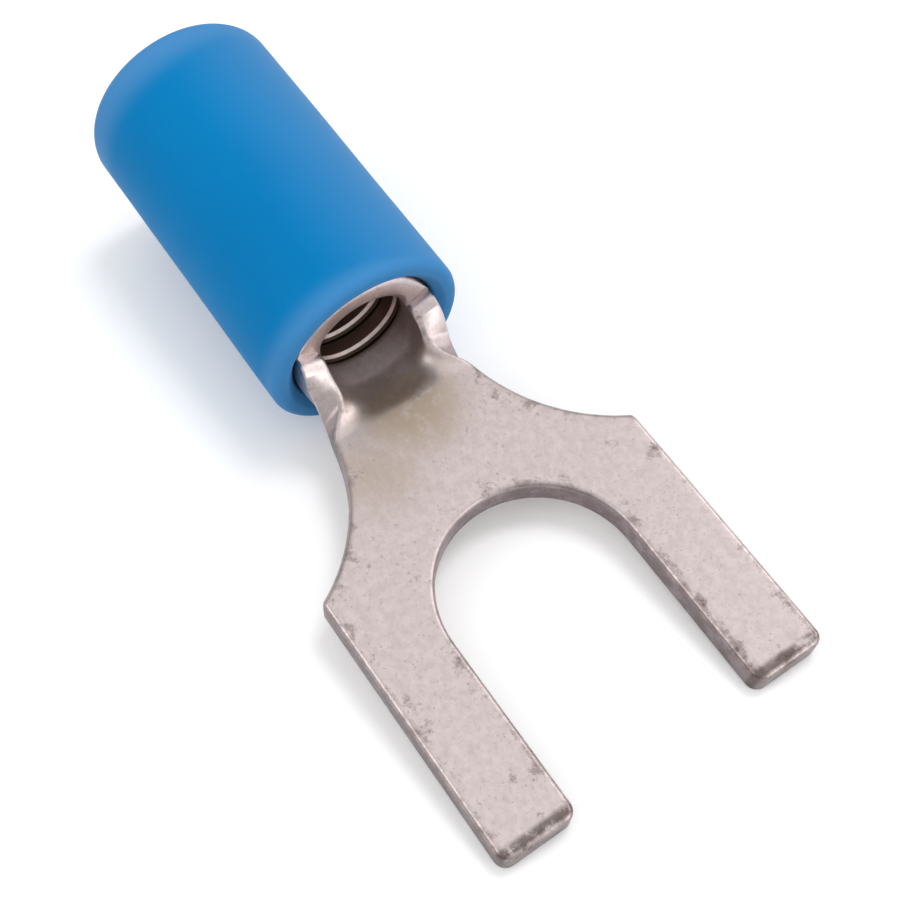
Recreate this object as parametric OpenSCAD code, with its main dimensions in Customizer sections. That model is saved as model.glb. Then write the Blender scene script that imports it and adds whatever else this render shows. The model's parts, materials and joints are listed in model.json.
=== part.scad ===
// Insulated fork terminal: a stamped and rolled tinned copper terminal in a vinyl sleeve.
// Millimetres, +Z up. The origin is the centre of the stud slot on the tongue's underside,
// and +X runs along the terminal to the tips of the fork.

/* [Tongue] */
// Width across the fork
tongue_w = 12; // [11:0.1:13.5]
// Thickness of the strip that the terminal is made from
stock_t = 0.95; // [0.8:0.05:1.1]
// Width of the slot for the stud
slot_w = 6.75; // [5.3:0.05:7.5]
// From the slot's centre to the tips of the tines
tine_l = 6.15; // [4:0.05:9]
// From the slot's centre back to the shoulders
shoulder_l = 3.25; // [2.6:0.05:4]
// Rounding that stamping leaves along the upper edges
edge_roll = 0.2; // [0.1:0.05:0.3]
// Rounding of the corners of the tines, seen from above
tip_r = 0.4; // [0.4:0.05:0.8]

/* [Neck] */
// Width of the neck behind the fork
neck_w = 5.2; // [4.4:0.1:5.4]
// Radius of the hollow sides that run from the shoulders to the neck
neck_r = 6.4; // [5:0.1:8]
// From the neck's narrowest line back to the barrel's front edge
root_l = 1.2; // [1:0.1:2]
// Length of the throat, where the sheet curls from flat to round
throat_l = 2.6; // [1.8:0.05:3.5]
// How far the throat's walls reach round the barrel, from its lowest line
ear_angle = 108; // [92:1:120]
// Height of the tongue's underside above the barrel's lowest line
tongue_rise = 1; // [0.5:0.05:1.4]

/* [Barrel] */
// Bore for the stripped wire
wire_bore_d = 3.4; // [3.2:0.05:3.8]
// Length of the barrel
barrel_l = 7.5; // [6:0.25:9]
// Serrations rolled into the bore
serration_count = 4; // [1:1:6]
// Distance between serrations
serration_pitch = 0.85; // [0.6:0.05:1]
// From the barrel's front edge to the first serration
serration_start = 0.65; // [0.3:0.05:0.8]
// Width of a serration
serration_w = 0.4; // [0.2:0.02:0.5]
// Depth of a serration
serration_depth = 0.15; // [0.05:0.01:0.2]
// Chamfer that leads the wire into the barrel
barrel_chamfer = 0.35; // [0.1:0.05:0.5]

/* [Insulating sleeve] */
// Length of the sleeve
sleeve_l = 12.3; // [11.5:0.05:15]
// Thickness of the sleeve's wall
sleeve_wall = 0.9; // [0.7:0.01:1]
// Gap between sleeve and barrel, all round
sleeve_clear = 0.03; // [0.02:0.01:0.08]
// How far the sleeve stands ahead of the barrel's front edge
sleeve_lip = 0.3; // [0.2:0.05:0.9]
// Rounding of the sleeve's front edge, outside
sleeve_front_r = 0.3; // [0.1:0.05:0.3]
// Chamfer of the sleeve's front edge, inside
sleeve_mouth = 0.35; // [0.1:0.05:0.35]
// Rounding of the sleeve's back edge, outside
sleeve_back_r = 0.5; // [0.1:0.05:0.5]
// Funnel at the sleeve's back end
sleeve_funnel = 0.25; // [0.05:0.05:0.25]

/* [Hidden] */

tin_colour = [0.80, 0.76, 0.75];
vinyl_colour = [0.02, 0.48, 0.74];
circle_steps = 96;
// Cutters run this far past the faces that they cut
overcut = 0.5;

slot_r = slot_w / 2;
tongue_half = tongue_w / 2;
neck_half = neck_w / 2;
wire_bore_r = wire_bore_d / 2;
barrel_r = wire_bore_r + stock_t;
axis_z = barrel_r - tongue_rise;
sleeve_bore_r = barrel_r + sleeve_clear;
sleeve_r = sleeve_bore_r + sleeve_wall;

// The hollow side is an arc through the shoulder that touches the neck's narrowest line
arc_drop = tongue_half - neck_half;
arc_run = sqrt(2 * neck_r * arc_drop - arc_drop * arc_drop);
arc_sweep = asin(arc_run / neck_r);
neck_x = -shoulder_l - arc_run;
// The rounded edge is an arc about a point this many roundings in from both faces,
// so it meets each face at a slight angle
roll_flatness = 1.3;
roll_depth = roll_flatness * edge_roll;
// Angle by which a hollow side's rounding runs out past the shoulder
roll_overrun = 4;

barrel_front_x = neck_x - root_l;
flat_x = barrel_front_x + throat_l;
barrel_back_x = barrel_front_x - barrel_l;
sleeve_front_x = barrel_front_x + sleeve_lip;

// The throat is a loft of bent strips, and its ends are set into the barrel and the tongue
throat_steps = 18;
strip_steps = 22;
roll_steps = 3;
seat_depth = 0.4;
seat_inset = 0.06;
seat_blend = 0.1;
// Powers above one hold the walls up for longer, then let them run out softly in the tongue
curl_hold = 2.2;
curl_run_out = 2;
// Below this curl, in degrees, a strip is taken as flat
least_curl = 0.01;
// Share of the throat over which its width goes from the barrel's to the sheet's
width_share = 0.5;
// Share of the throat behind which its floor still lies in the barrel
floor_delay = 0.15;

function mix(a, b, k) = a + (b - a) * k;
function smooth(k) = k * k * (3 - 2 * k);
function clamped(k) = max(0, min(1, k));
// Half-width of the sheet at a place along the neck
function sheet_half(x) = neck_half + neck_r - sqrt(neck_r * neck_r - pow(max(0, x - neck_x), 2));

// Upper side of a strip with rounded edges: distance from its middle, height from its mid-plane
function strip_edge(w, t, roll) = [
    for (i = [0 : roll_steps])
        let (a = 90 * i / roll_steps)
            [w - roll * (1 - cos(a)), t / 2 - roll * (1 - sin(a))]
];
function reversed(list) = [for (i = [len(list) - 1 : -1 : 0]) list[i]];
function strip_top(w, t, roll) = concat(
    [for (p = strip_edge(w, t, roll)) [-p[0], p[1]]],
    [for (i = [1 : strip_steps - 1]) [mix(roll - w, w - roll, i / strip_steps), t / 2]],
    reversed(strip_edge(w, t, roll))
);
// The whole outline, with a point below for each point above
function strip_outline(w, t, roll) =
    let (top = strip_top(w, t, roll))
        concat([for (p = top) [p[0], -t / 2]], reversed(top));

// The same strip bent up round the long axis, by curl degrees each side of its lowest line
function bent(p, radius, curl, floor_z) = curl < least_curl
    ? [p[0], floor_z + p[1]]
    : let (a = p[0] / radius * 180 / PI)
        [(radius - p[1]) * sin(a), floor_z + radius - (radius - p[1]) * cos(a)];

// One section of the throat, at k = 0 in the barrel and k = 1 in the tongue
function throat_section(k, x, inset) =
    let (
        curl = ear_angle * pow(1 - pow(k, curl_hold), curl_run_out),
        half = mix(barrel_r, sheet_half(x), smooth(clamped(k / width_share))),
        radius = curl < least_curl ? 0 : half / sin(min(curl, 90)) - stock_t / 2,
        w = curl < least_curl ? half : radius * curl * PI / 180,
        rise = smooth(clamped((k - floor_delay) / (1 - floor_delay))),
        floor_z = mix(stock_t / 2 - tongue_rise, stock_t / 2, rise),
        outline = strip_outline(w - inset, stock_t - 2 * inset, edge_roll - inset)
    )
    [for (p = outline) let (q = bent(p, radius, curl, floor_z)) [x, q[0], q[1]]];

throat_sections = concat(
    [throat_section(0, barrel_front_x - seat_depth, seat_inset)],
    [
        for (i = [0 : throat_steps])
            let (k = i / throat_steps)
                throat_section(k, mix(barrel_front_x + seat_blend, flat_x - seat_blend, k), 0)
    ],
    [throat_section(1, flat_x + seat_depth, seat_inset)]
);

module loft(sections) {
    n = len(sections[0]);
    last = (len(sections) - 1) * n;
    points = [for (s = sections) each s];
    caps = [
        for (j = [0 : n / 2 - 2])
            let (a = j, b = j + 1, c = n - 2 - j, d = n - 1 - j)
                each [[a, b, c], [a, c, d], [last + c, last + b, last + a], [last + d, last + c, last + a]]
    ];
    sides = [
        for (i = [0 : n : last - 1], j = [0 : n - 1])
            let (a = i + j, b = i + (j + 1) % n)
                each [[a, a + n, b + n], [a, b + n, b]]
    ];
    polyhedron(points, concat(caps, sides), convexity = 6);
}

// Solid of revolution about the terminal's long axis, from a profile of [radius, x]
module along_axis() {
    translate([0, 0, axis_z])
        rotate([0, 90, 0])
            rotate_extrude($fn = circle_steps)
                children();
}

module fork_outline() {
    difference() {
        union() {
            translate([-shoulder_l, -tongue_half])
                square([shoulder_l + tine_l, tongue_w]);
            for (side = [0, 1])
                mirror([0, side, 0])
                    neck_outline();
        }
        circle(r = slot_r, $fn = circle_steps);
        translate([0, -slot_r])
            square([tine_l + overcut, slot_w]);
        for (side = [0, 1])
            mirror([0, side, 0])
                tine_corners();
    }
}

// What the rounded corners take off the tip of a tine
module tine_corners() {
    translate([tine_l - tip_r, tongue_half - tip_r])
        corner_round(tip_r);
    translate([tine_l - tip_r, slot_r + tip_r])
        mirror([0, 1, 0])
            corner_round(tip_r);
}

// Half of the neck: a wedge from the flat's end to the shoulder, hollowed by the side's arc
module neck_outline() {
    difference() {
        translate([flat_x, -overcut])
            square([overcut - shoulder_l - flat_x, overcut + tongue_half]);
        translate([neck_x, neck_half + neck_r])
            circle(r = neck_r, $fn = circle_steps);
    }
}

// What the rounded upper edge takes off, across an edge: distance into the sheet, height
module roll_profile() {
    difference() {
        translate([-overcut, stock_t - roll_depth])
            square(roll_depth + overcut);
        translate([roll_depth, stock_t - roll_depth])
            circle(r = norm([roll_depth, roll_depth - edge_roll]), $fn = circle_steps);
    }
}

// Along a straight edge, with the sheet on the left
module straight_roll(from, turn, length) {
    translate(from)
        rotate([90, 0, 90 + turn])
            linear_extrude(length)
                roll_profile();
}

// Along a hollow arc, with the sheet outside it
module arc_roll(centre, r, turn, sweep) {
    translate(centre)
        rotate([0, 0, turn])
            rotate_extrude(angle = sweep, $fn = circle_steps)
                translate([r, 0])
                    roll_profile();
}

// Round an outside corner, with the sheet inside it
module corner_roll(centre, turn) {
    translate(centre)
        rotate([0, 0, turn])
            rotate_extrude(angle = 90, $fn = circle_steps)
                translate([tip_r, 0])
                    mirror([1, 0])
                        roll_profile();
}

// The rounded edges of the half of the fork with negative Y
module half_rolls() {
    side_sweep = arc_sweep + roll_overrun;
    corner_x = tine_l - tip_r;
    straight_roll([-shoulder_l - edge_roll, -tongue_half], 0, edge_roll + shoulder_l + corner_x);
    corner_roll([corner_x, tip_r - tongue_half], 270);
    straight_roll([tine_l, tip_r - tongue_half], 90, tongue_half - slot_r - 2 * tip_r);
    corner_roll([corner_x, -slot_r - tip_r], 0);
    straight_roll([corner_x, -slot_r], 180, corner_x);
    arc_roll([0, 0], slot_r, 180, 90);
    arc_roll([neck_x, -neck_half - neck_r], neck_r, 90 - side_sweep, side_sweep);
}

module tongue() {
    difference() {
        linear_extrude(stock_t)
            fork_outline();
        for (side = [0, 1])
            mirror([0, side, 0])
                half_rolls();
    }
}

module barrel() {
    along_axis()
        difference() {
            translate([wire_bore_r, barrel_back_x])
                square([stock_t, barrel_l]);
            polygon([
                [wire_bore_r - overcut, barrel_back_x - overcut],
                [wire_bore_r + barrel_chamfer + overcut, barrel_back_x - overcut],
                [wire_bore_r - overcut, barrel_back_x + barrel_chamfer + overcut]
            ]);
            for (i = [0 : serration_count - 1])
                translate([wire_bore_r, barrel_front_x - serration_start - i * serration_pitch])
                    polygon([[0, -serration_w / 2], [serration_depth, 0], [0, serration_w / 2]]);
        }
}

module terminal() {
    color(tin_colour) {
        tongue();
        loft(throat_sections);
        barrel();
    }
}

module insulating_sleeve() {
    color(vinyl_colour)
        along_axis()
            difference() {
                translate([sleeve_bore_r, sleeve_front_x - sleeve_l])
                    square([sleeve_wall, sleeve_l]);
                translate([sleeve_r - sleeve_front_r, sleeve_front_x - sleeve_front_r])
                    corner_round(sleeve_front_r);
                translate([sleeve_r - sleeve_back_r, sleeve_front_x - sleeve_l + sleeve_back_r])
                    mirror([0, 1, 0])
                        corner_round(sleeve_back_r);
                translate([sleeve_bore_r, sleeve_front_x])
                    polygon([[0, 0], [sleeve_mouth, 0], [0, -sleeve_mouth]]);
                translate([sleeve_bore_r, sleeve_front_x - sleeve_l])
                    polygon([[0, 0], [sleeve_funnel, 0], [0, sleeve_funnel]]);
            }
}

// What a rounding takes off an outside corner, with the arc's centre at the origin
module corner_round(r) {
    difference() {
        square(r + overcut);
        circle(r = r, $fn = circle_steps);
    }
}

terminal();
insulating_sleeve();
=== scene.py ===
import json
import math

import bmesh
import bpy
from mathutils import Matrix, Vector, noise
from mathutils.geometry import delaunay_2d_cdt


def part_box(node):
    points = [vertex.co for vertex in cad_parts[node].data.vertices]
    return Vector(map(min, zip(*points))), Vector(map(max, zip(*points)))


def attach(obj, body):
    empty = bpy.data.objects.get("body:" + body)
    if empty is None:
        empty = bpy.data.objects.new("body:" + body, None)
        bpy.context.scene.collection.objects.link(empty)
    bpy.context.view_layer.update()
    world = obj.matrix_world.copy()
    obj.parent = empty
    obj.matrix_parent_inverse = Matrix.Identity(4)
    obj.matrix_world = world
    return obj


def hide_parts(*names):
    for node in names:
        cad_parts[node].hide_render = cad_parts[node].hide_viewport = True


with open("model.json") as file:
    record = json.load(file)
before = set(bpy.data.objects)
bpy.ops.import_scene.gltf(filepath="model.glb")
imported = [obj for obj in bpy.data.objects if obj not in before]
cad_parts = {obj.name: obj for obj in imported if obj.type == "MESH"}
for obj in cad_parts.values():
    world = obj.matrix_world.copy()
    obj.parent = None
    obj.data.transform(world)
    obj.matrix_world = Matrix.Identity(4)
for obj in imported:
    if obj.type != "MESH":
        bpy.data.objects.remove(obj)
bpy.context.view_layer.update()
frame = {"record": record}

# Sizes are in millimetres, in the part's own frame, and meshes are made in metres
MM = 0.001
QUARTER = math.pi / 2
mounts = {mount["name"]: mount for mount in frame["record"]["mounts"]}
terminal_low, terminal_high = (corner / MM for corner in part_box("terminal"))
sleeve_low, sleeve_high = (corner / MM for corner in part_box("insulating_sleeve"))

# The tongue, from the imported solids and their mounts
STOCK_T = mounts["tongue_top"]["pos_m"][2] / MM
SLOT_R = mounts["stud_slot"]["dims"]["r_mm"]
TONGUE_HALF = terminal_high.y
TIP_X = terminal_high.x
SHOULDER_X = -3.25
EDGE_ROLL = 0.2
EDGE_BREAK = 0.05
TIP_R = 0.4
SHOULDER_R = 0.26

# The unevenness of its faces, as height, scale and seed of each noise, and where it fades at the edges
UNEVENNESS = ((0.012, 0.35, 1.7), (0.004, 1.0, 4.2))
EDGE_FLAT = 0.1
EDGE_FADE = 0.8

# The neck and the throat
NECK_HALF = 2.6
NECK_R = 6.4
ARC_DROP = TONGUE_HALF - NECK_HALF
ARC_RUN = math.sqrt(2 * NECK_R * ARC_DROP - ARC_DROP ** 2)
ARC_SWEEP = math.asin(ARC_RUN / NECK_R)
NECK_X = SHOULDER_X - ARC_RUN
ROOT_L = 1.2
THROAT_L = 2.6
THROAT_BLEND = 0.1
EAR_ANGLE = math.radians(108)
CURL_HOLD = 2.2
CURL_RUN_OUT = 2
FLAT_CURL = 1e-4
WIDTH_SHARE = 0.5
FLOOR_DELAY = 0.15

# The barrel
BORE_R = mounts["wire_barrel"]["dims"]["r_mm"]
AXIS_Z = mounts["wire_barrel"]["pos_m"][2] / MM
BARREL_R = BORE_R + STOCK_T
BARREL_FRONT = NECK_X - ROOT_L
BARREL_BACK = terminal_low.x
FLAT_X = BARREL_FRONT + THROAT_L - THROAT_BLEND
TONGUE_RISE = BARREL_R - AXIS_Z
BARREL_CHAMFER = 0.35
RIM_ROUND = 0.28
RIM_EASE = 7
SERRATIONS = 4
SERRATION_START = 0.65
SERRATION_PITCH = 0.85
SERRATION_W = 0.4
SERRATION_DEPTH = 0.15

# A serration's section: place and how far in it sinks, as shares of its half width and of how deep the
# grooves are cut, and how much painted shade it gets.
# The back lip gets none, so it stays bright beside the painted shade of the groove.
GROOVE = (
    (1.0, 0.0, 1.0),
    (0.35, 0.85, 2.0),
    (0.0, 1.0, 2.0),
    (-0.45, 0.55, 2.0),
    (-0.5, 0.5, 0.0),
    (-0.95, 0.05, 0.0),
    (-1.0, 0.0, 1.2),
    (-1.15, 0.0, 1.0),
)

# The sleeve
SLEEVE_FRONT = sleeve_high.x
SLEEVE_BACK = sleeve_low.x
SLEEVE_R = sleeve_high.y
SLEEVE_WALL = 0.9
SLEEVE_BORE_R = SLEEVE_R - SLEEVE_WALL
SLEEVE_FRONT_R = 0.3
SLEEVE_MOUTH = 0.35
MOUTH_EASE = 0.02
SLEEVE_BACK_R = 0.5
SLEEVE_FUNNEL = 0.25
VINYL_SOFTNESS = 0.02
VINYL_WAVE = 0.22

# Where soil shows, from the edges and in the throat, and where painted shade darkens the bore and the
# sleeve's mouth
RIM_REACH = 0.45
THROAT_RIM = 0.6
THROAT_CUT_FROM = 0.1
BORE_DARK_FROM = 0.2
BORE_DARK_RUN = 0.8
MOUTH_SHADE_STEP = 0.12

# Where painted light makes the vinyl paler: lengths at its ends, and a flank by its angles from the lowest
# line
PALE_BACK_L = 1.9
PALE_BACK_FADE = 1.3
PALE_FRONT = 0.8
PALE_FRONT_L = 1.0
PALE_FRONT_FADE = 0.8
PALE_FLANK = 0.7
PALE_FLANK_START = math.radians(45)
PALE_FLANK_END = math.radians(200)
PALE_FLANK_FADE = 1.1

# How finely the meshes are divided
STRIP_STEPS = 56
ROLL_STEPS = 5
RIM_STEPS = 5
THROAT_STEPS = 48
UPPER_STEPS = 40
NECK_STEPS = 40
CORNER_STEPS = 8
SIDE_STEPS = 20
TIP_STEPS = 8
SLOT_STEPS = 30
SLEEVE_STEPS = 160
SLEEVE_ROWS = 48
SLEEVE_BACK_STEPS = 10
TONGUE_GRID = 0.28
GRID_CLEARANCE = 0.4 * TONGUE_GRID
SHARP_ANGLE = math.radians(38)

# Points along the faces and the edges of a strip's section
UPPER_N = STRIP_STEPS - 1
EDGE_N = ROLL_STEPS + 3
RING_N = 2 * (UPPER_N + EDGE_N)


def mix(a, b, k):
    """From a at k = 0 to b at k = 1."""
    return a + (b - a) * k


def smooth(k):
    """0 below k = 0 and 1 above k = 1, with a soft step between."""
    k = max(0.0, min(1.0, k))
    return k * k * (3 - 2 * k)


# Meshes

def make_object(name, points, faces, attributes, material):
    """A smooth-shaded mesh from points in millimetres, with one float attribute per name."""
    mesh = bpy.data.meshes.new(name)
    mesh.from_pydata([Vector(p) * MM for p in points], [], faces)
    outward = bmesh.new()
    outward.from_mesh(mesh)
    bmesh.ops.recalc_face_normals(outward, faces=outward.faces)
    outward.to_mesh(mesh)
    outward.free()
    for key, values in attributes.items():
        layer = mesh.attributes.new(key, "FLOAT", "POINT")
        layer.data.foreach_set("value", values)
    mesh.shade_smooth()
    mesh.set_sharp_from_angle(angle=SHARP_ANGLE)
    mesh.materials.append(material)
    piece = bpy.data.objects.new(name, mesh)
    bpy.context.scene.collection.objects.link(piece)
    return piece


def arc(cx, cy, r, start, end, steps, hollow=False):
    """Points of an arc, each with its outward normal."""
    sign = -1 if hollow else 1
    for i in range(steps + 1):
        a = mix(start, end, i / steps)
        c, s = math.cos(a), math.sin(a)
        yield (cx + r * c, cy + r * s), (sign * c, sign * s)


def straight(start, end, normal, steps):
    """Points of a straight side between its two ends, each with the side's normal."""
    for i in range(1, steps):
        k = i / steps
        yield (mix(start[0], end[0], k), mix(start[1], end[1], k)), normal


def on_circle(x, r, a):
    """A point round the barrel's axis, with the angle from its lowest line."""
    return x, r * math.sin(a), AXIS_Z - r * math.cos(a)


def edge_gap(sides, x, y):
    """Distance from a place to the nearest of some straight sides."""
    nearest = math.inf
    for (ax, ay), (bx, by) in sides:
        dx, dy = bx - ax, by - ay
        k = ((x - ax) * dx + (y - ay) * dy) / (dx * dx + dy * dy)
        k = max(0.0, min(1.0, k))
        nearest = min(nearest, math.hypot(x - ax - k * dx, y - ay - k * dy))
    return nearest


def planar_fill(loop):
    """Triangles that fill a loop of points, over a grid of points inside it: the grid, and the faces."""
    xs = [x for x, y in loop]
    ys = [y for x, y in loop]
    sides = list(zip(loop, loop[1:] + loop[:1]))

    def inside(x, y):
        crossings = 0
        for (ax, ay), (bx, by) in sides:
            if (ay > y) != (by > y) and x < ax + (y - ay) / (by - ay) * (bx - ax):
                crossings += 1
        return crossings % 2 == 1

    grid = []
    rows = int((max(ys) - min(ys)) / TONGUE_GRID)
    columns = int((max(xs) - min(xs)) / TONGUE_GRID)
    for j in range(rows + 1):
        for i in range(columns + 1):
            x = min(xs) + (i + 0.5 * (j % 2)) * TONGUE_GRID
            y = min(ys) + (j + 0.5) * TONGUE_GRID
            if inside(x, y) and edge_gap(sides, x, y) > GRID_CLEARANCE:
                grid.append((x, y))
    places = [Vector(p) for p in loop + grid]
    inside_only, tolerance = 1, 1e-6
    found = delaunay_2d_cdt(places, [], [list(range(len(loop)))], inside_only, tolerance)
    triangles, sources = found[2:4]
    return grid, [[sources[i][0] for i in triangle] for triangle in triangles]


class Sheet:
    """Collects the terminal's points, faces and per-point attributes."""

    def __init__(self):
        self.points = []
        self.faces = []
        self.marks = {"rim": [], "shear": [], "depth": []}

    def add(self, point, rim=0.0, shear=0.0, depth=0.0):
        """Keeps a point, with how near an edge, how far on a cut face and how much painted shade of the
        bore it has.
        """
        self.points.append(point)
        self.marks["rim"].append(rim)
        self.marks["shear"].append(shear)
        self.marks["depth"].append(depth)
        return len(self.points) - 1

    def skin(self, first, second, closed):
        """Faces between two rows of points."""
        n = len(first)
        for i in range(n if closed else n - 1):
            j = (i + 1) % n
            self.faces.append([first[i], first[j], second[j], second[i]])


# The terminal

def edge_profile(w):
    """Down one edge of the strip: distance from the strip's middle, height from its mid-plane."""
    top = STOCK_T / 2
    turns = [QUARTER * (1 - i / ROLL_STEPS) for i in range(ROLL_STEPS + 1)]
    roll = [(w - EDGE_ROLL * (1 - math.cos(a)), top - EDGE_ROLL * (1 - math.sin(a))) for a in turns]
    return roll + [(w, EDGE_BREAK - top), (w - EDGE_BREAK, -top)]


def cut_share(step):
    """How far a step of the edge's profile is on the cut face."""
    return min(1.0, step / ROLL_STEPS)


def strip_ring(w):
    """Round the section of the flat strip: its upper face, right edge, lower face and left edge."""
    edge = edge_profile(w)
    top = STOCK_T / 2
    shares = [2 * i / STRIP_STEPS - 1 for i in range(1, STRIP_STEPS)]
    upper = [((w - EDGE_ROLL) * s, top) for s in shares]
    lower = [(-(w - EDGE_BREAK) * s, -top) for s in shares]
    left = [(-v, h) for v, h in reversed(edge)]
    return upper + edge + lower + left


def ring_sides(ring):
    """The upper face, right edge, lower face and left edge of a ring of points."""
    lower = UPPER_N + EDGE_N
    left = lower + UPPER_N
    return ring[:UPPER_N], ring[UPPER_N:lower], ring[lower:left], ring[left:]


def edge_step(j):
    """The step of the edge's profile that the point j of a ring is, or None on a face."""
    for step in (j - UPPER_N, RING_N - 1 - j):
        if 0 <= step < EDGE_N:
            return step
    return None


def sheet_half(x):
    """Half the strip's width beside the neck's hollow arcs."""
    run = max(0.0, x - NECK_X)
    return NECK_HALF + NECK_R - math.sqrt(NECK_R ** 2 - run ** 2)


def bent(point, radius, floor):
    """A strip's point bent up round the long axis: across, height."""
    v, h = point
    a = v / radius
    return (radius - h) * math.sin(a), floor + radius - (radius - h) * math.cos(a)


def throat_ring(k, x):
    """One section of the throat, at k = 0 in the barrel and k = 1 in the tongue."""
    curl = EAR_ANGLE * (1 - k ** CURL_HOLD) ** CURL_RUN_OUT
    half = mix(BARREL_R, sheet_half(x), smooth(k / WIDTH_SHARE))
    rise = smooth((k - FLOOR_DELAY) / (1 - FLOOR_DELAY))
    floor = STOCK_T / 2 - TONGUE_RISE * (1 - rise)
    if curl < FLAT_CURL:
        return [(x, v, floor + h) for v, h in strip_ring(half)]
    radius = half / math.sin(min(curl, QUARTER)) - STOCK_T / 2
    return [(x, *bent(point, radius, floor)) for point in strip_ring(radius * curl)]


def add_throat(sheet):
    """The throat, as a list of rings from the barrel to the tongue."""
    places = [(0.0, BARREL_FRONT)]
    for i in range(THROAT_STEPS + 1):
        k = i / THROAT_STEPS
        places.append((k, mix(BARREL_FRONT + THROAT_BLEND, FLAT_X, k)))
    rings = []
    for k, x in places:
        ring = []
        for j, point in enumerate(throat_ring(k, x)):
            step = edge_step(j)
            if step is None:
                ring.append(sheet.add(point))
            else:
                shear = cut_share(step) * smooth(k - THROAT_CUT_FROM)
                ring.append(sheet.add(point, THROAT_RIM, shear))
        rings.append(ring)
    for first, second in zip(rings, rings[1:]):
        sheet.skin(first, second, closed=True)
    return rings


def bore_rows():
    """Down the bore and out over the entry chamfer: place, radius, and how much painted shade."""
    rows = []
    for i in range(SERRATIONS):
        x = BARREL_FRONT - SERRATION_START - i * SERRATION_PITCH
        for across, deep, dark in GROOVE:
            rows.append((x + across * SERRATION_W / 2, BORE_R + deep * SERRATION_DEPTH, dark))
    bore_end = BARREL_BACK + BARREL_CHAMFER
    halfway = mix(rows[-1][0], bore_end, 0.5)
    rows += [(halfway, BORE_R, 1.0), (bore_end, BORE_R, 1.0), (BARREL_BACK, BORE_R + BARREL_CHAMFER, 1.0)]
    return rows


def add_barrel(sheet, upper, right, lower, left):
    """The closed barrel behind the first throat section, whose strip is its lower part."""

    def angle(index):
        x, y, z = sheet.points[index]
        return math.atan2(y, AXIS_Z - z)

    inner_front = [left[-1]] + upper + [right[0]]
    outer_front = [right[-1]] + lower + [left[0]]
    outer_front.reverse()
    inner_angles = [angle(i) for i in inner_front]
    outer_angles = [angle(i) for i in outer_front]
    inner_ease = [0.0] * len(inner_front)
    outer_ease = [0.0] * len(outer_front)

    # The edge over the mouth, between the two ears, is rounded on both sides
    walls = (
        (inner_front, inner_angles, inner_ease, BORE_R, 1),
        (outer_front, outer_angles, outer_ease, BARREL_R, -1),
    )
    for front, angles, eases, radius, inward in walls:
        start, end = angles[-1], 2 * math.pi + angles[0]
        for i in range(1, UPPER_STEPS):
            k = i / UPPER_STEPS
            eases.append(smooth(RIM_EASE * min(k, 1 - k)))
            angles.append(mix(start, end, k))
            r = radius + inward * RIM_ROUND * eases[-1]
            front.append(sheet.add(on_circle(BARREL_FRONT, r, angles[-1])))

    def rounded(angles, eases, radius, inward):
        rows = []
        for i in range(1, RIM_STEPS + 1):
            a = QUARTER * i / RIM_STEPS
            x = BARREL_FRONT - RIM_ROUND * (1 - math.cos(a))
            step = inward * RIM_ROUND * (1 - math.sin(a))
            rows.append([sheet.add(on_circle(x, radius + step * e, t)) for t, e in zip(angles, eases)])
        return rows

    def row(x, radius, angles, depth):
        return [sheet.add(on_circle(x, radius, a), depth=depth) for a in angles]

    bore = [inner_front] + rounded(inner_angles, inner_ease, BORE_R, 1)
    for x, r, dark in bore_rows():
        # Painted shade: the bore is darkened the further in from its mouth, and most in its grooves
        depth = dark * smooth((BARREL_FRONT + BORE_DARK_FROM - x) / BORE_DARK_RUN)
        bore.append(row(x, r, inner_angles, depth))
    outside = [row(BARREL_BACK, BARREL_R, outer_angles, 1.0)]
    outside.append(row(BARREL_FRONT - 2 * RIM_ROUND, BARREL_R, outer_angles, 1.0))
    outside += reversed(rounded(outer_angles, outer_ease, BARREL_R, -1))
    rows = bore + outside + [outer_front]
    for first, second in zip(rows, rows[1:]):
        sheet.skin(first, second, closed=True)

    # The front face over the mouth, and one face at the end of each ear
    inner_arc = inner_front[STRIP_STEPS + 1:]
    outer_arc = outer_front[STRIP_STEPS + 1:]
    sheet.skin(inner_arc, outer_arc, closed=False)
    sheet.faces.append([inner_arc[0], outer_arc[0]] + right[::-1])
    sheet.faces.append([outer_arc[-1], inner_arc[-1]] + left[::-1])


def tongue_path():
    """The tongue's outline, from one side of the throat round to the other: places with outward normals."""
    first = -math.acos(min(1.0, (FLAT_X - NECK_X) / NECK_R))
    trim = SHOULDER_R / NECK_R * math.tan(ARC_SWEEP / 2)
    last = ARC_SWEEP - QUARTER - trim
    path = list(arc(NECK_X, NECK_HALF + NECK_R, NECK_R, first, last, NECK_STEPS, hollow=True))

    # The shoulder's corner touches the end of the hollow arc and the straight side
    turn = last + math.pi
    corner_x = path[-1][0][0] - SHOULDER_R * math.cos(turn)
    corner = arc(corner_x, TONGUE_HALF - SHOULDER_R, SHOULDER_R, turn, QUARTER, CORNER_STEPS)
    path += list(corner)[1:]

    tip_x = TIP_X - TIP_R
    outer_y = TONGUE_HALF - TIP_R
    inner_y = SLOT_R + TIP_R
    path += straight((corner_x, TONGUE_HALF), (tip_x, TONGUE_HALF), (0, 1), SIDE_STEPS)
    path += arc(tip_x, outer_y, TIP_R, QUARTER, 0, CORNER_STEPS)
    path += straight((TIP_X, outer_y), (TIP_X, inner_y), (1, 0), TIP_STEPS)
    path += arc(tip_x, inner_y, TIP_R, 0, -QUARTER, CORNER_STEPS)
    path += straight((tip_x, SLOT_R), (0, SLOT_R), (0, -1), SIDE_STEPS)
    path += arc(0, 0, SLOT_R, QUARTER, math.pi, SLOT_STEPS, hollow=True)
    mirrored = [((x, -y), (nx, -ny)) for (x, y), (nx, ny) in reversed(path[:-1])]
    return path + mirrored


def unevenness(x, y):
    """Height of the tongue's face over a true plane."""
    return sum(h * noise.noise(Vector((s * x, s * y, seed))) for h, s, seed in UNEVENNESS)


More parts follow.
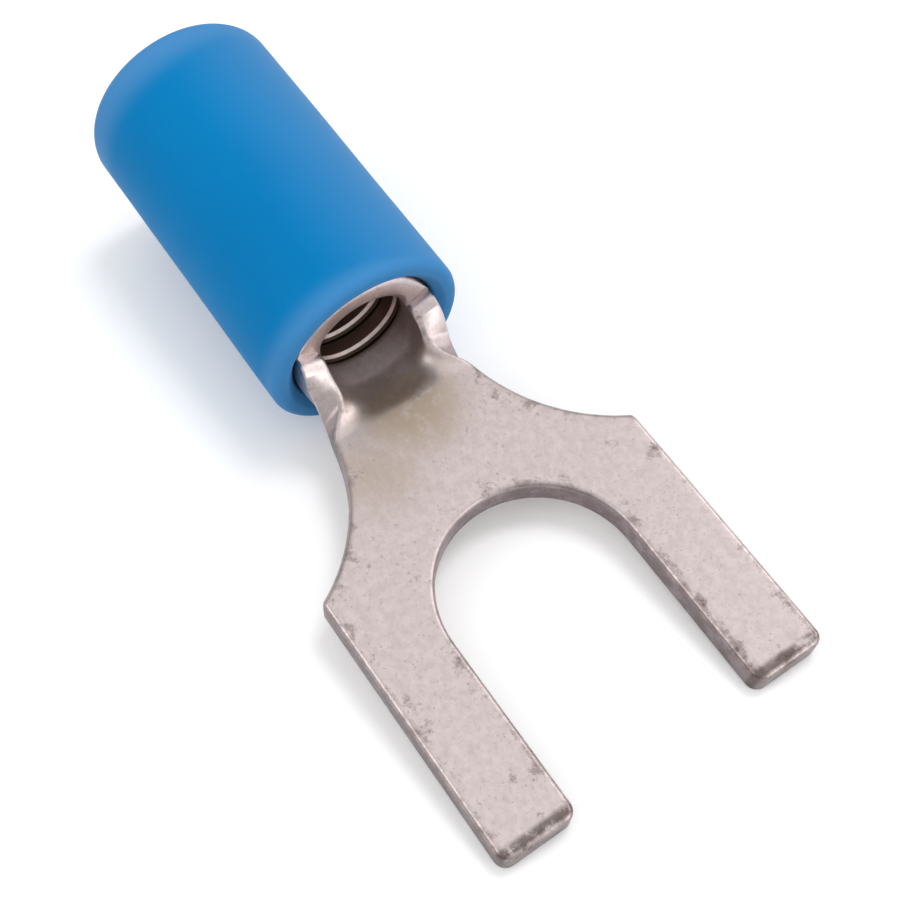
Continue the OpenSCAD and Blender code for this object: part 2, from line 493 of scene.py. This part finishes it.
def add_tongue(sheet, upper, right, lower, left):
    """The flat fork ahead of the last throat section."""
    path = tongue_path()
    columns = [right]
    for (x, y), (nx, ny) in path[1:-1]:
        column = []
        for step, (v, h) in enumerate(edge_profile(0)):
            point = (x + nx * v, y + ny * v, STOCK_T / 2 + h)
            column.append(sheet.add(point, 1.0, cut_share(step)))
        columns.append(column)
    columns.append(left[::-1])
    for first, second in zip(columns, columns[1:]):
        sheet.skin(first, second, closed=False)

    outline = [place for place, normal in path]
    cut_sides = list(zip(outline, outline[1:]))
    top_loop = [column[0] for column in columns] + upper
    bottom_loop = [column[-1] for column in columns] + lower[::-1]
    for loop, z in ((top_loop, STOCK_T), (bottom_loop, 0.0)):
        flat_loop = [sheet.points[i][:2] for i in loop]
        loop_sides = list(zip(flat_loop, flat_loop[1:] + flat_loop[:1]))
        grid, triangles = planar_fill(flat_loop)
        indices = list(loop)
        for x, y in grid:
            fade = smooth((edge_gap(loop_sides, x, y) - EDGE_FLAT) / EDGE_FADE)
            rim = math.exp(-edge_gap(cut_sides, x, y) / RIM_REACH)
            indices.append(sheet.add((x, y, z + unevenness(x, y) * fade), rim))
        sheet.faces += [[indices[i] for i in triangle] for triangle in triangles]


def make_terminal(material):
    """The terminal as one closed mesh: throat, barrel and tongue."""
    sheet = Sheet()
    rings = add_throat(sheet)
    add_barrel(sheet, *ring_sides(rings[0]))
    add_tongue(sheet, *ring_sides(rings[-1]))
    return make_object("terminal_metal", sheet.points, sheet.faces, sheet.marks, material)


# The sleeve

def painted_light_share(x, a):
    """How much painted light makes the vinyl paler, by the place along the sleeve and the angle from its
    lowest line: a painted sheen along one flank and painted light at both ends.
    """
    at_back = smooth((SLEEVE_BACK + PALE_BACK_L - x) / PALE_BACK_FADE)
    at_front = PALE_FRONT * smooth((x - SLEEVE_FRONT + PALE_FRONT_L) / PALE_FRONT_FADE)
    before_end = smooth((PALE_FLANK_END - a) / PALE_FLANK_FADE)
    on_flank = PALE_FLANK * before_end * smooth(a - PALE_FLANK_START)
    return max(at_back, at_front, on_flank)


def make_sleeve(material):
    """The sleeve as a closed profile turned round the long axis, with the softness of moulded vinyl."""
    front_x = SLEEVE_FRONT - SLEEVE_FRONT_R
    back_x = SLEEVE_BACK + SLEEVE_BACK_R
    front = arc(front_x, SLEEVE_R - SLEEVE_FRONT_R, SLEEVE_FRONT_R, 0, QUARTER, CORNER_STEPS)
    side = straight((front_x, SLEEVE_R), (back_x, SLEEVE_R), (0, 1), SLEEVE_ROWS)
    back = arc(back_x, SLEEVE_R - SLEEVE_BACK_R, SLEEVE_BACK_R, QUARTER, math.pi, SLEEVE_BACK_STEPS)
    outer = [place for stretch in (front, side, back) for place, normal in stretch]
    bore_mouth = (SLEEVE_FRONT - SLEEVE_MOUTH, SLEEVE_BORE_R)
    inner = [
        (SLEEVE_BACK, SLEEVE_BORE_R + SLEEVE_FUNNEL),
        (SLEEVE_BACK + SLEEVE_FUNNEL, SLEEVE_BORE_R),
        (BARREL_BACK, SLEEVE_BORE_R),
        bore_mouth,
        (bore_mouth[0] + MOUTH_SHADE_STEP, SLEEVE_BORE_R + MOUTH_SHADE_STEP),
        (SLEEVE_FRONT - MOUTH_EASE, SLEEVE_BORE_R + SLEEVE_MOUTH - MOUTH_EASE),
        (SLEEVE_FRONT, SLEEVE_BORE_R + SLEEVE_MOUTH + MOUTH_EASE),
    ]
    profile = outer + inner

    points = []
    marks = {"pale": [], "inside": []}
    for j, (x, r) in enumerate(profile):
        for i in range(SLEEVE_STEPS):
            a = 2 * math.pi * i / SLEEVE_STEPS
            soft = 0.0
            if j < len(outer):
                wave = noise.noise(Vector((VINYL_WAVE * x, math.cos(a), math.sin(a))))
                soft = VINYL_SOFTNESS * (wave - 1)
            points.append(on_circle(x, r + soft, a))
            marks["pale"].append(painted_light_share(x, a))
            # Painted shade: only the row at the bore's mouth is darkened, fading out by the next row
            marks["inside"].append(1.0 if (x, r) == bore_mouth else 0.0)
    faces = []
    for j in range(len(profile)):
        first = j * SLEEVE_STEPS
        second = (j + 1) % len(profile) * SLEEVE_STEPS
        for i in range(SLEEVE_STEPS):
            k = (i + 1) % SLEEVE_STEPS
            faces.append([first + i, second + i, second + k, first + k])
    return make_object("sleeve_vinyl", points, faces, marks, material)


# Materials

TIN_DULL = (0.585, 0.502, 0.497)
TIN_BRIGHT = (0.685, 0.596, 0.591)
TIN_GRAIN = (0.44, 0.37, 0.365)
TARNISH = (0.46, 0.365, 0.285)
# The cut faces: duller, and darkened in part as painted shade
CUT_BRIGHT = (0.27, 0.22, 0.225)
CUT_DULL = (0.16, 0.125, 0.13)
SOIL_THIN = (0.25, 0.20, 0.19)
SOIL_THICK = (0.10, 0.075, 0.07)
# Painted dark reflection behind the rounded edge of each tip
TIP_DARK_REFLECTION = (0.12, 0.09, 0.085)
# Painted shade in the bore, and near-black painted shade in its grooves
BORE_PAINTED_SHADE = (0.34, 0.23, 0.18)
GROOVE_PAINTED_SHADE = (0.06, 0.04, 0.03)
VINYL_DEEP = (0.0, 0.175, 0.440)
VINYL_LIGHT = (0.0, 0.189, 0.466)
# Painted light: a paler blue for the sheen on one flank and the light at both ends
VINYL_PAINTED_LIGHT = (0.06, 0.24, 0.515)
# Painted shade inside the sleeve's mouth
VINYL_MOUTH_SHADE = (0.004, 0.03, 0.075)

# The middles of the stained and the roughened places
NECK_STAIN = (-7.6, 0.0, STOCK_T)
FLANK_STAIN = (-6.1, -2.1, STOCK_T)
THROAT_HOLLOW = (BARREL_FRONT + 0.9, 0.0, -0.2)


class Shader:
    """The node tree of a material or a world, built node by node."""

    def __init__(self, owner):
        owner.use_nodes = True
        self.owner = owner
        self.nodes = owner.node_tree.nodes
        self.links = owner.node_tree.links
        self.bsdf = self.nodes.get("Principled BSDF")

    def link(self, source, target):
        self.links.new(source, target)

    def node(self, kind, **settings):
        made = self.nodes.new("ShaderNode" + kind)
        for key, value in settings.items():
            setattr(made, key, value)
        return made

    def millimetres(self):
        """The part's own coordinates, in millimetres."""
        coordinates = self.node("TexCoord")
        mapping = self.node("Mapping")
        mapping.inputs["Scale"].default_value = (1 / MM,) * 3
        self.link(coordinates.outputs["Object"], mapping.inputs["Vector"])
        return mapping.outputs["Vector"]

    def noise(self, where, scale, detail, roughness):
        made = self.node("TexNoise")
        made.inputs["Scale"].default_value = scale
        made.inputs["Detail"].default_value = detail
        made.inputs["Roughness"].default_value = roughness
        self.link(where, made.inputs["Vector"])
        return made.outputs["Fac"]

    def ramp(self, value, low, high):
        """A value from low to high, as 0 to 1."""
        made = self.node("MapRange", interpolation_type="SMOOTHSTEP")
        made.inputs["From Min"].default_value = low
        made.inputs["From Max"].default_value = high
        self.link(value, made.inputs["Value"])
        return made.outputs["Result"]

    def axis(self, where, name):
        """One coordinate of a place or a direction."""
        apart = self.node("SeparateXYZ")
        self.link(where, apart.inputs["Vector"])
        return apart.outputs[name]

    def near(self, where, centre, inner, outer):
        """1 within the inner distance of a point and 0 beyond the outer one."""
        made = self.node("VectorMath", operation="DISTANCE")
        made.inputs[1].default_value = centre
        self.link(where, made.inputs[0])
        return self.ramp(made.outputs["Value"], outer, inner)

    def attribute(self, name):
        return self.node("Attribute", attribute_name=name).outputs["Fac"]

    def math(self, operation, a, b):
        """An operation on two sockets, or on a socket and a number."""
        made = self.node("Math", operation=operation)
        for socket, value in zip(made.inputs, (a, b)):
            if isinstance(value, float):
                socket.default_value = value
            else:
                self.link(value, socket)
        return made.outputs["Value"]

    def add(self, a, b):
        return self.math("ADD", a, b)

    def multiply(self, a, b):
        return self.math("MULTIPLY", a, b)

    def larger(self, a, b):
        return self.math("MAXIMUM", a, b)

    def seen(self):
        """1 for what the camera sees, also in metal or through glass, and 0 for the light that is given."""
        path = self.node("LightPath").outputs
        direct = self.larger(path["Is Camera Ray"], path["Is Glossy Ray"])
        return self.larger(direct, path["Is Transmission Ray"])

    def blend(self, factor, a, b):
        """Colour a at factor 0 and colour b at factor 1, each a socket or a tuple."""
        made = self.node("Mix", data_type="RGBA")
        self.link(factor, made.inputs["Factor"])
        # The colour sockets come after the node's number and vector ones
        for socket, colour in ((made.inputs[6], a), (made.inputs[7], b)):
            if isinstance(colour, tuple):
                socket.default_value = (*colour, 1.0)
            else:
                self.link(colour, socket)
        return made.outputs[2]

    def bump(self, height, strength, distance):
        made = self.node("Bump")
        made.inputs["Strength"].default_value = strength
        made.inputs["Distance"].default_value = distance * MM
        self.link(height, made.inputs["Height"])
        return made.outputs["Normal"]


def tin_material():
    """Satin tin plate: mottled, soiled along its edges and yellowed at the neck, with painted shade
    darkening the bore and, in part, the cut faces, and a painted dark reflection behind each tip's edge.
    """
    shader = Shader(bpy.data.materials.new("tinned_copper"))
    where = shader.millimetres()
    mottle = shader.noise(where, scale=3.2, detail=6.0, roughness=0.7)
    grain = shader.noise(where, scale=8.0, detail=4.0, roughness=0.65)
    patches = shader.noise(where, scale=1.5, detail=6.0, roughness=0.72)
    soil = shader.noise(where, scale=1.0, detail=8.0, roughness=0.75)
    colour = shader.blend(shader.ramp(mottle, 0.32, 0.68), TIN_DULL, TIN_BRIGHT)
    colour = shader.blend(shader.ramp(grain, 0.55, 0.78), colour, TIN_GRAIN)

    # Tarnish spreads from the throat down the left flank
    neck = shader.near(where, NECK_STAIN, 0.6, 2.8)
    flank = shader.multiply(shader.near(where, FLANK_STAIN, 0.3, 2.4), 0.6)
    tarnish = shader.multiply(shader.larger(neck, flank), shader.ramp(patches, 0.18, 0.52))
    colour = shader.blend(tarnish, colour, TARNISH)

    # The cut faces are duller and streaky, and also darkened as painted shade for the dark surroundings
    # they reflect
    shear = shader.attribute("shear")
    cut = shader.blend(shader.ramp(soil, 0.40, 0.58), CUT_BRIGHT, CUT_DULL)
    colour = shader.blend(shear, colour, cut)

    # Soil gathers along the edges, most of all near the tips
    along = shader.axis(where, "X")
    near_tip = shader.ramp(along, TIP_X - 4.5, TIP_X - 0.3)
    pull = shader.add(shader.multiply(near_tip, 0.07), 0.10)
    reach = shader.add(shader.multiply(shader.attribute("rim"), pull), soil)
    on_face = shader.math("SUBTRACT", 1.0, shader.multiply(shear, 0.6))
    thin = shader.multiply(shader.ramp(reach, 0.60, 0.70), on_face)
    thick = shader.multiply(shader.ramp(reach, 0.70, 0.78), on_face)
    colour = shader.blend(shader.multiply(thin, 0.65), colour, SOIL_THIN)
    colour = shader.blend(shader.multiply(thick, 0.8), colour, SOIL_THICK)

    # A painted dark reflection lies behind the rounded edge of each tip, where the rounding reflects the
    # dark surroundings, broken up by the soil noise
    line_start = shader.ramp(along, TIP_X - 0.52, TIP_X - 0.33)
    line_end = shader.ramp(along, TIP_X - 0.1, TIP_X - 0.2)
    line = shader.multiply(shader.multiply(line_start, line_end), shader.ramp(soil, 0.36, 0.50))
    colour = shader.blend(shader.multiply(line, 0.8), colour, TIP_DARK_REFLECTION)

    # Painted shade: brown further into the bore, near black in the grooves
    depth = shader.attribute("depth")
    colour = shader.blend(depth, colour, BORE_PAINTED_SHADE)
    colour = shader.blend(shader.ramp(depth, 1.0, 2.0), colour, GROOVE_PAINTED_SHADE)
    shader.link(colour, shader.bsdf.inputs["Base Color"])

    # The hollow of the throat is rougher than the tongue
    rough = shader.add(shader.multiply(grain, 0.22), 0.26)
    hollow = shader.near(where, THROAT_HOLLOW, 0.9, 2.5)
    rough = shader.add(rough, shader.multiply(hollow, 0.22))
    shader.link(rough, shader.bsdf.inputs["Roughness"])
    shader.bsdf.inputs["Metallic"].default_value = 1.0
    shader.link(shader.bump(grain, strength=0.25, distance=0.012), shader.bsdf.inputs["Normal"])
    return shader.owner


def vinyl_material():
    """Dull blue vinyl, with painted light that makes it paler at the ends and along one flank, and painted
    shade in its mouth.
    """
    shader = Shader(bpy.data.materials.new("blue_vinyl"))
    where = shader.millimetres()
    cloud = shader.noise(where, scale=0.3, detail=3.0, roughness=0.5)
    grain = shader.noise(where, scale=10.0, detail=2.0, roughness=0.5)
    colour = shader.blend(shader.ramp(cloud, 0.3, 0.7), VINYL_DEEP, VINYL_LIGHT)
    # Painted light makes the ends and one flank paler
    colour = shader.blend(shader.attribute("pale"), colour, VINYL_PAINTED_LIGHT)
    # Painted shade inside the sleeve's mouth
    colour = shader.blend(shader.attribute("inside"), colour, VINYL_MOUTH_SHADE)
    shader.link(colour, shader.bsdf.inputs["Base Color"])
    shader.bsdf.inputs["Roughness"].default_value = 0.5
    shader.bsdf.inputs["Specular IOR Level"].default_value = 0.06
    shader.link(shader.bump(grain, strength=0.1, distance=0.008), shader.bsdf.inputs["Normal"])
    return shader.owner


# Stage, light and camera

# The part lies on the tips of its fork and the lower front edge of its sleeve
contact_x = SLEEVE_FRONT - SLEEVE_FRONT_R - TIP_X
contact_z = AXIS_Z - SLEEVE_R + SLEEVE_FRONT_R
EDGE_TURN = math.asin(SLEEVE_FRONT_R / math.hypot(contact_x, contact_z))
FLOOR_PITCH = math.atan2(-contact_z, -contact_x) + EDGE_TURN
FLOOR_HALF = 600
FLOOR_WHITE = (0.9, 0.9, 0.9, 1)
FLOOR_GLOW = 0.12

WHITE = (1, 1, 1, 1)
SKY_AT_HORIZON = 0.22
SKY_OVERHEAD = 1.12
HORIZON_PALE = 0.86
HORIZON_TOP = 0.22
HORIZON_FULL = 0.06

CAMERA_AIM = (-5.178, 0.234, 0.95)
CAMERA_AZIMUTH = -39.4
CAMERA_ELEVATION = 61.62
CAMERA_ROLL = 5.16
CAMERA_DISTANCE = 45.07
CAMERA_LENS = 56.0
CAMERA_SENSOR = 36
CAMERA_NEAR = 1
CAMERA_FAR = 10000
LAMP_DISTANCE = 260


def toward(azimuth, elevation):
    """The direction at some degrees from +X and above the level."""
    a, e = math.radians(azimuth), math.radians(elevation)
    return Vector((math.cos(a) * math.cos(e), math.sin(a) * math.cos(e), math.sin(e)))


def make_camera():
    """The camera at the photograph's viewing angle."""
    data = bpy.data.cameras.new("camera")
    data.lens = CAMERA_LENS
    data.sensor_width = CAMERA_SENSOR
    data.clip_start = CAMERA_NEAR * MM
    data.clip_end = CAMERA_FAR * MM
    camera = bpy.data.objects.new("camera", data)
    back = toward(CAMERA_AZIMUTH, CAMERA_ELEVATION)
    level = back.to_track_quat("Z", "Y").to_matrix().to_4x4()
    place = Matrix.Translation((Vector(CAMERA_AIM) + back * CAMERA_DISTANCE) * MM)
    camera.matrix_world = place @ level @ Matrix.Rotation(math.radians(CAMERA_ROLL), 4, "Z")
    bpy.context.scene.collection.objects.link(camera)
    bpy.context.scene.camera = camera


def make_floor():
    """A white floor that keeps the part's shadow, and shows a little brighter than it is lit."""
    shader = Shader(bpy.data.materials.new("floor_white"))
    shader.bsdf.inputs["Base Color"].default_value = FLOOR_WHITE
    shader.bsdf.inputs["Roughness"].default_value = 1.0
    shader.bsdf.inputs["Specular IOR Level"].default_value = 0.0
    shader.bsdf.inputs["Emission Color"].default_value = WHITE
    glow = shader.multiply(shader.seen(), FLOOR_GLOW)
    shader.link(glow, shader.bsdf.inputs["Emission Strength"])
    mesh = bpy.data.meshes.new("floor")
    mesh.from_pydata([(-1, -1, 0), (1, -1, 0), (1, 1, 0), (-1, 1, 0)], [], [(0, 1, 2, 3)])
    mesh.materials.append(shader.owner)
    floor = bpy.data.objects.new("floor", mesh)
    tilt = Matrix.Rotation(-FLOOR_PITCH, 4, "Y")
    floor.matrix_world = Matrix.Translation((TIP_X * MM, 0, 0)) @ tilt @ Matrix.Scale(FLOOR_HALF * MM, 4)
    bpy.context.scene.collection.objects.link(floor)


def make_world():
    """A white sky that is brighter overhead, with a horizon as pale as the far floor."""
    sky = Shader(bpy.data.worlds.new("studio"))
    height = sky.larger(sky.axis(sky.node("TexCoord").outputs["Generated"], "Z"), 0.0)
    overhead = sky.add(sky.multiply(height, SKY_OVERHEAD - SKY_AT_HORIZON), SKY_AT_HORIZON)
    horizon = sky.multiply(sky.ramp(height, HORIZON_TOP, HORIZON_FULL), HORIZON_PALE)
    strength = sky.larger(overhead, sky.multiply(horizon, sky.seen()))
    background = sky.nodes["Background"]
    background.inputs["Color"].default_value = WHITE
    sky.link(strength, background.inputs["Strength"])
    bpy.context.scene.world = sky.owner


def make_softbox(name, azimuth, elevation, width, height, power):
    """A lamp that looks at the part from a direction."""
    lamp = bpy.data.lights.new(name, "AREA")
    lamp.shape = "RECTANGLE"
    lamp.size = width * MM
    lamp.size_y = height * MM
    lamp.energy = power
    away = toward(azimuth, elevation)
    softbox = bpy.data.objects.new(name, lamp)
    softbox.location = (Vector(CAMERA_AIM) + away * LAMP_DISTANCE) * MM
    softbox.rotation_euler = away.to_track_quat("Z", "Y").to_euler()
    bpy.context.scene.collection.objects.link(softbox)
    return softbox


make_camera()
make_floor()
make_world()

# The top light throws the shadow and isn't seen in the metal, and the key light is seen only there
top_light = make_softbox("top_light", azimuth=112, elevation=70, width=80, height=80, power=0.18)
top_light.visible_glossy = False
key_light = make_softbox("key_light", azimuth=84, elevation=30, width=300, height=170, power=0.24)
key_light.visible_diffuse = False
make_softbox("front_light", azimuth=28, elevation=19, width=130, height=110, power=0.12)
make_softbox("side_light", azimuth=-106, elevation=34, width=130, height=100, power=0.11)

terminal_metal = make_terminal(tin_material())
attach(terminal_metal, "root")
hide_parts("terminal")

sleeve_vinyl = make_sleeve(vinyl_material())
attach(sleeve_vinyl, "root")
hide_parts("insulating_sleeve")

bpy.context.scene.view_settings.view_transform = "Standard"
